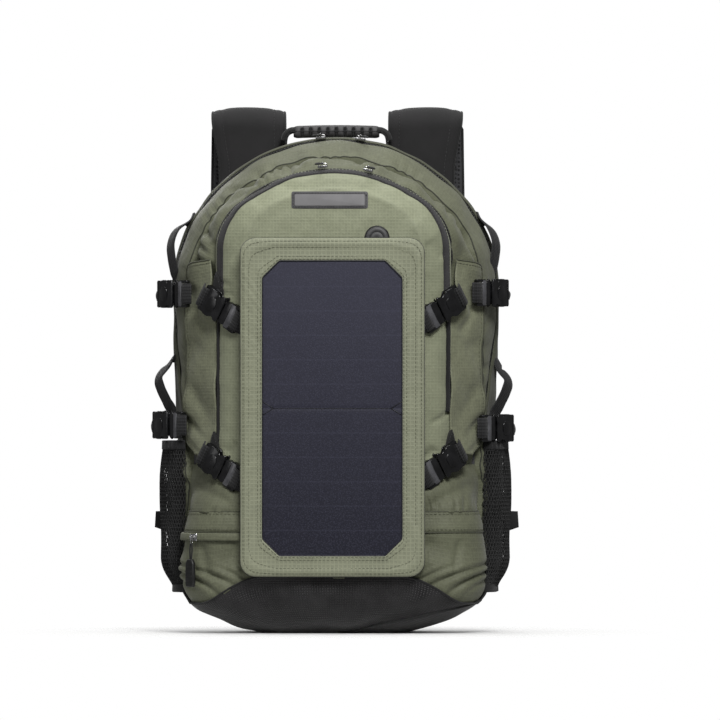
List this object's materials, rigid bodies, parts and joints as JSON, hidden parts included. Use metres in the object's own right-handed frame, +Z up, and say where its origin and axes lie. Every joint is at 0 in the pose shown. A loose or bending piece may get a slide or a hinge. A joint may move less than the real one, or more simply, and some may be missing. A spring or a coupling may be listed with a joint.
{
  "type": "solar backpack",
  "caption": "Hiking daypack with a rigid solar panel buckled to the front, mesh side pockets, compression straps and a padded harness.",
  "frame": {"origin": "middle of the footprint on the surface the bag stands on", "axes": "+Z up, the panel faces -Y, the harness is at +Y, +X to the right seen from the front"},
  "size_m": [0.368, 0.227, 0.526],
  "materials": {
    "shell_fabric": "ripstop weave, slightly crinkled",
    "panel_fabric": "grid ripstop",
    "base_fabric": "coated weave with a sheen",
    "pocket_mesh": "open knitted mesh",
    "harness_fabric": "dense nylon",
    "pad_mesh": "spacer mesh over foam",
    "webbing": "ribbed webbing",
    "lining": "plain lining",
    "buckle_plastic": "moulded, satin",
    "stiffener": "plain sheet",
    "grip_rubber": "moulded rubber",
    "zip_metal": "nickel plated",
    "pull_cord": "cord and moulded end",
    "zip_tape": "woven tape with coil",
    "laminate": "matt textured film",
    "cells": "silicon behind film",
    "housing": "moulded",
    "label": "moulded patch, blank"
  },
  "bodies": {
    "bag": {"main_gusset": "shell_fabric", "mid_gusset": "shell_fabric", "front_compartment": "shell_fabric", "lower_pocket": "shell_fabric", "lower_band": "shell_fabric", "panel_frame": "panel_fabric", "panel_back": "panel_fabric", "base_panel": "base_fabric", "mesh_pocket_left": "pocket_mesh", "mesh_pocket_right": "pocket_mesh", "shoulder_strap_left": "harness_fabric", "shoulder_strap_right": "harness_fabric", "back_panel": "harness_fabric", "strap_anchors": "harness_fabric", "back_pad_left": "pad_mesh", "back_pad_right": "pad_mesh", "lumbar_pad": "pad_mesh", "strap_webbing_left": "webbing", "strap_webbing_right": "webbing", "handle_tabs": "webbing", "front_buckle_tabs": "webbing", "side_straps": "webbing", "main_divider": "lining", "front_divider": "lining", "laptop_sleeve": "lining", "front_buckle_sockets": "buckle_plastic", "side_buckle_sockets": "buckle_plastic", "ladder_lock_left": "buckle_plastic", "ladder_lock_right": "buckle_plastic", "frame_sheet": "stiffener", "panel_board": "stiffener", "cable_grommet": "grip_rubber", "main_zip_tape": "zip_tape", "front_zip_tape": "zip_tape", "pocket_zip_tape": "zip_tape", "solar_laminate": "laminate", "laminate_film": "laminate", "solar_cells": "cells", "junction_box": "housing", "label_patch": "label"},
    "front_clip_upper_left": {"front_clip_upper_left": "buckle_plastic"},
    "front_clip_upper_right": {"front_clip_upper_right": "buckle_plastic"},
    "front_clip_lower_left": {"front_clip_lower_left": "buckle_plastic"},
    "front_clip_lower_right": {"front_clip_lower_right": "buckle_plastic"},
    "side_clip_upper_left": {"side_clip_upper_left": "buckle_plastic"},
    "side_clip_upper_right": {"side_clip_upper_right": "buckle_plastic"},
    "side_clip_lower_left": {"side_clip_lower_left": "buckle_plastic"},
    "side_clip_lower_right": {"side_clip_lower_right": "buckle_plastic"},
    "main_slider_left": {"main_slider_left": "zip_metal"},
    "main_pull_left": {"main_pull_left": "pull_cord"},
    "main_slider_right": {"main_slider_right": "zip_metal"},
    "main_pull_right": {"main_pull_right": "pull_cord"},
    "front_slider_left": {"front_slider_left": "zip_metal"},
    "front_pull_left": {"front_pull_left": "pull_cord"},
    "front_slider_right": {"front_slider_right": "zip_metal"},
    "front_pull_right": {"front_pull_right": "pull_cord"},
    "pocket_slider": {"pocket_slider": "zip_metal"},
    "pocket_pull": {"pocket_pull": "grip_rubber"},
    "handle": {"handle_strap": "webbing", "handle_grip": "grip_rubber"}
  },
  "joints": [
    {"name": "front_clip_upper_left_release", "type": "slide", "parent": "bag", "child": "front_clip_upper_left", "axis": [0.7, -0.5, -0.51], "range_m": [0, 0.009]},
    {"name": "front_clip_upper_right_release", "type": "slide", "parent": "bag", "child": "front_clip_upper_right", "axis": [-0.7, -0.5, -0.51], "range_m": [0, 0.009]},
    {"name": "front_clip_lower_left_release", "type": "slide", "parent": "bag", "child": "front_clip_lower_left", "axis": [0.7, -0.5, -0.51], "range_m": [0, 0.009]},
    {"name": "front_clip_lower_right_release", "type": "slide", "parent": "bag", "child": "front_clip_lower_right", "axis": [-0.7, -0.5, -0.51], "range_m": [0, 0.009]},
    {"name": "side_clip_upper_left_release", "type": "slide", "parent": "bag", "child": "side_clip_upper_left", "axis": [0.6, -0.8, 0], "range_m": [0, 0.009]},
    {"name": "side_clip_upper_right_release", "type": "slide", "parent": "bag", "child": "side_clip_upper_right", "axis": [-0.6, -0.8, 0], "range_m": [0, 0.009]},
    {"name": "side_clip_lower_left_release", "type": "slide", "parent": "bag", "child": "side_clip_lower_left", "axis": [0.6, -0.8, 0], "range_m": [0, 0.009]},
    {"name": "side_clip_lower_right_release", "type": "slide", "parent": "bag", "child": "side_clip_lower_right", "axis": [-0.6, -0.8, 0], "range_m": [0, 0.009]},
    {"name": "main_slider_left_run", "type": "hinge", "parent": "bag", "child": "main_slider_left", "pos_m": [0, 0.022, 0.32645], "axis": [0, -1, 0], "range_deg": [0, 35]},
    {"name": "main_pull_left_lift", "type": "hinge", "parent": "main_slider_left", "child": "main_pull_left", "pos_m": [-0.01497, 0.022, 0.49759], "axis": [-0.9962, 0, -0.0872], "range_deg": [0, 110]},
    {"name": "main_slider_right_run", "type": "hinge", "parent": "bag", "child": "main_slider_right", "pos_m": [0, 0.022, 0.32645], "axis": [0, 1, 0], "range_deg": [0, 32]},
    {"name": "main_pull_right_lift", "type": "hinge", "parent": "main_slider_right", "child": "main_pull_right", "pos_m": [0.02539, 0.022, 0.49635], "axis": [-0.989, 0, 0.1478], "range_deg": [0, 110]},
    {"name": "front_slider_left_run", "type": "hinge", "parent": "bag", "child": "front_slider_left", "pos_m": [0, -0.066, 0.312], "axis": [0, -1, 0], "range_deg": [0, 33]},
    {"name": "front_pull_left_lift", "type": "hinge", "parent": "front_slider_left", "child": "front_pull_left", "pos_m": [-0.01088, -0.066, 0.46762], "axis": [-0.9976, 0, -0.0698], "range_deg": [0, 110]},
    {"name": "front_slider_right_run", "type": "hinge", "parent": "bag", "child": "front_slider_right", "pos_m": [0, -0.066, 0.312], "axis": [0, 1, 0], "range_deg": [0, 24]},
    {"name": "front_pull_right_lift", "type": "hinge", "parent": "front_slider_right", "child": "front_pull_right", "pos_m": [0.03509, -0.066, 0.464], "axis": [-0.9744, 0, 0.225], "range_deg": [0, 110]},
    {"name": "pocket_slider_run", "type": "hinge", "parent": "bag", "child": "pocket_slider", "pos_m": [-0.10353, -0.0531, 0.096], "axis": [0, 0, 1], "range_deg": [-35, 38]},
    {"name": "pocket_pull_lift", "type": "hinge", "parent": "pocket_slider", "child": "pocket_pull", "pos_m": [-0.14051, -0.09009, 0.096], "axis": [-0.7071, 0.7071, 0], "range_deg": [0, 80]},
    {"name": "handle_swing", "type": "hinge", "parent": "bag", "child": "handle", "pos_m": [0, 0.062, 0.488], "axis": [1, 0, 0], "range_deg": [-15, 20]}
  ]
}
